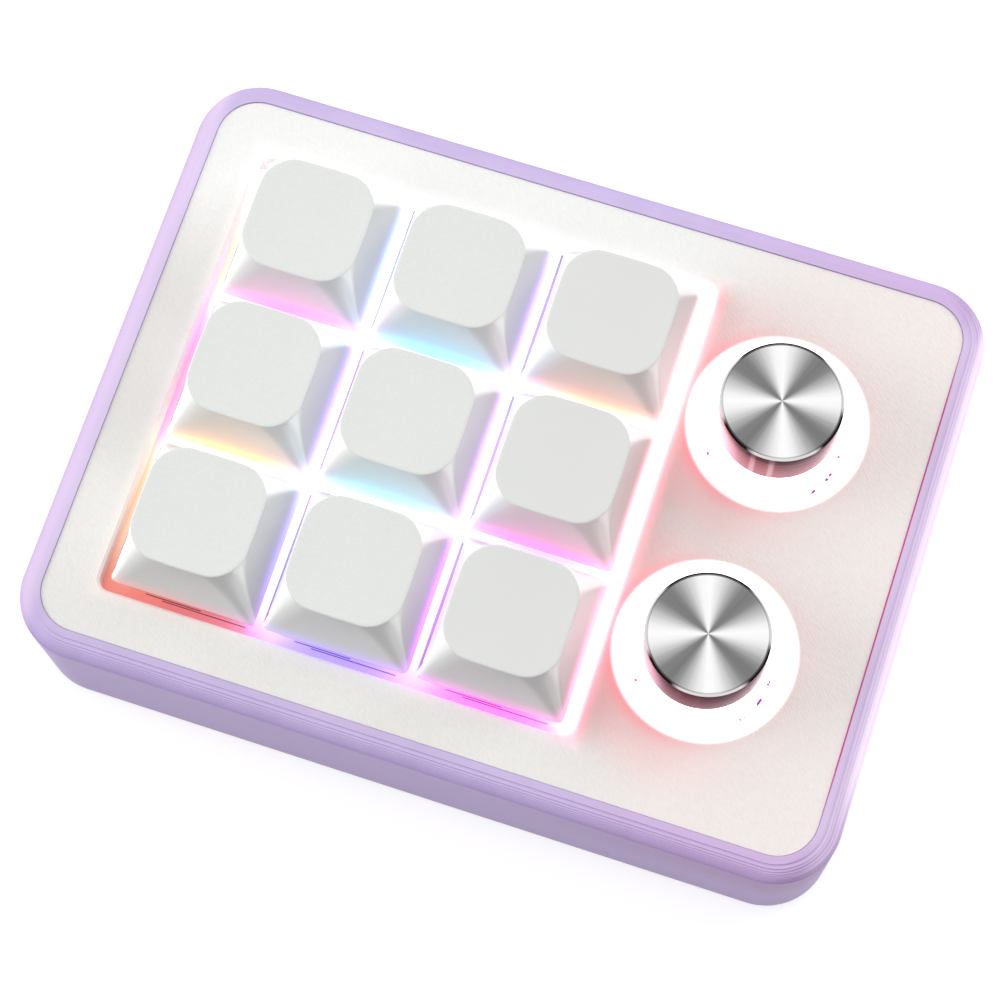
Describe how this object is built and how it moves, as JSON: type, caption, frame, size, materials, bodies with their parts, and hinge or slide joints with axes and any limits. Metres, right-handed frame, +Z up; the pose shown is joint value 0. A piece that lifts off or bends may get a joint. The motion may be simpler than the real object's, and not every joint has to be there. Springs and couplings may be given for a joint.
{
  "type": "macro keypad",
  "caption": "Low desk macro keypad: square grid of spring keys and two push dials in a soft-edged case with a rear cable socket.",
  "frame": {"origin": "centre of the case in plan, on the plane that the feet stand on", "axes": "+X from the keys to the dials, +Y to the back with the cable socket, +Z up"},
  "size_m": [0.101, 0.0764, 0.0293],
  "materials": {
    "lavender_shell": "printed plastic, satin, fine layer lines",
    "white_plate": "printed plastic, matte, fine diagonal fill lines",
    "keycap_plastic": "matte, fine grain",
    "black_plastic": "moulded, satin",
    "clear_housing": "clear moulded plastic, drawn as pale plastic",
    "stem_plastic": "moulded, satin",
    "circuit_board": "black solder mask",
    "light_lens": "milky lens",
    "contact_brass": "plated",
    "bright_steel": "plated",
    "knob_aluminium": "spun face, anodised",
    "foot_rubber": "matte"
  },
  "bodies": {
    "case": {"case_frame": "lavender_shell", "bottom_cover": "lavender_shell", "face_plate": "white_plate", "switch_plate": "white_plate", "circuit_board": "circuit_board", "controller_chip": "black_plastic", "port_shell": "bright_steel", "port_tongue": "black_plastic", "rubber_feet": "foot_rubber", "case_screws": "bright_steel", "switch_bases": "clear_housing", "switch_covers": "clear_housing", "switch_contacts": "contact_brass", "key_lights": "light_lens", "ring_lights": "light_lens", "light_diffusers": "light_lens", "encoder_bases": "clear_housing", "encoder_brackets": "bright_steel", "encoder_pins": "contact_brass", "key_spring_1": "bright_steel", "key_spring_2": "bright_steel", "key_spring_3": "bright_steel", "key_spring_4": "bright_steel", "key_spring_5": "bright_steel", "key_spring_6": "bright_steel", "key_spring_7": "bright_steel", "key_spring_8": "bright_steel", "key_spring_9": "bright_steel", "click_dome_1": "bright_steel", "click_dome_2": "bright_steel"},
    "key_1": {"keycap_1": "keycap_plastic", "key_stem_1": "stem_plastic"},
    "key_2": {"keycap_2": "keycap_plastic", "key_stem_2": "stem_plastic"},
    "key_3": {"keycap_3": "keycap_plastic", "key_stem_3": "stem_plastic"},
    "key_4": {"keycap_4": "keycap_plastic", "key_stem_4": "stem_plastic"},
    "key_5": {"keycap_5": "keycap_plastic", "key_stem_5": "stem_plastic"},
    "key_6": {"keycap_6": "keycap_plastic", "key_stem_6": "stem_plastic"},
    "key_7": {"keycap_7": "keycap_plastic", "key_stem_7": "stem_plastic"},
    "key_8": {"keycap_8": "keycap_plastic", "key_stem_8": "stem_plastic"},
    "key_9": {"keycap_9": "keycap_plastic", "key_stem_9": "stem_plastic"},
    "dial_1_plunger": {"push_plunger_1": "stem_plastic"},
    "dial_1": {"encoder_shaft_1": "bright_steel", "knob_1": "knob_aluminium", "knob_screw_1": "bright_steel"},
    "dial_2_plunger": {"push_plunger_2": "stem_plastic"},
    "dial_2": {"encoder_shaft_2": "bright_steel", "knob_2": "knob_aluminium", "knob_screw_2": "bright_steel"}
  },
  "joints": [
    {"name": "key_1_press", "type": "slide", "parent": "case", "child": "key_1", "axis": [0, 0, -1], "range_m": [0, 0.004], "stiffness_N_per_m": 75, "springref_m": -0.004, "deforming": ["key_spring_1"]},
    {"name": "key_2_press", "type": "slide", "parent": "case", "child": "key_2", "axis": [0, 0, -1], "range_m": [0, 0.004], "stiffness_N_per_m": 75, "springref_m": -0.004, "deforming": ["key_spring_2"]},
    {"name": "key_3_press", "type": "slide", "parent": "case", "child": "key_3", "axis": [0, 0, -1], "range_m": [0, 0.004], "stiffness_N_per_m": 75, "springref_m": -0.004, "deforming": ["key_spring_3"]},
    {"name": "key_4_press", "type": "slide", "parent": "case", "child": "key_4", "axis": [0, 0, -1], "range_m": [0, 0.004], "stiffness_N_per_m": 75, "springref_m": -0.004, "deforming": ["key_spring_4"]},
    {"name": "key_5_press", "type": "slide", "parent": "case", "child": "key_5", "axis": [0, 0, -1], "range_m": [0, 0.004], "stiffness_N_per_m": 75, "springref_m": -0.004, "deforming": ["key_spring_5"]},
    {"name": "key_6_press", "type": "slide", "parent": "case", "child": "key_6", "axis": [0, 0, -1], "range_m": [0, 0.004], "stiffness_N_per_m": 75, "springref_m": -0.004, "deforming": ["key_spring_6"]},
    {"name": "key_7_press", "type": "slide", "parent": "case", "child": "key_7", "axis": [0, 0, -1], "range_m": [0, 0.004], "stiffness_N_per_m": 75, "springref_m": -0.004, "deforming": ["key_spring_7"]},
    {"name": "key_8_press", "type": "slide", "parent": "case", "child": "key_8", "axis": [0, 0, -1], "range_m": [0, 0.004], "stiffness_N_per_m": 75, "springref_m": -0.004, "deforming": ["key_spring_8"]},
    {"name": "key_9_press", "type": "slide", "parent": "case", "child": "key_9", "axis": [0, 0, -1], "range_m": [0, 0.004], "stiffness_N_per_m": 75, "springref_m": -0.004, "deforming": ["key_spring_9"]},
    {"name": "dial_1_press", "type": "slide", "parent": "case", "child": "dial_1_plunger", "axis": [0, 0, -1], "range_m": [0, 0.0005], "stiffness_N_per_m": 3000, "springref_m": -0.0008, "deforming": ["click_dome_1"]},
    {"name": "dial_1_turn", "type": "hinge", "parent": "dial_1_plunger", "child": "dial_1", "pos_m": [0.0292, 0.01465, 0], "axis": [0, 0, 1], "continuous": true},
    {"name": "dial_2_press", "type": "slide", "parent": "case", "child": "dial_2_plunger", "axis": [0, 0, -1], "range_m": [0, 0.0005], "stiffness_N_per_m": 3000, "springref_m": -0.0008, "deforming": ["click_dome_2"]},
    {"name": "dial_2_turn", "type": "hinge", "parent": "dial_2_plunger", "child": "dial_2", "pos_m": [0.0292, -0.01465, 0], "axis": [0, 0, 1], "continuous": true}
  ]
}
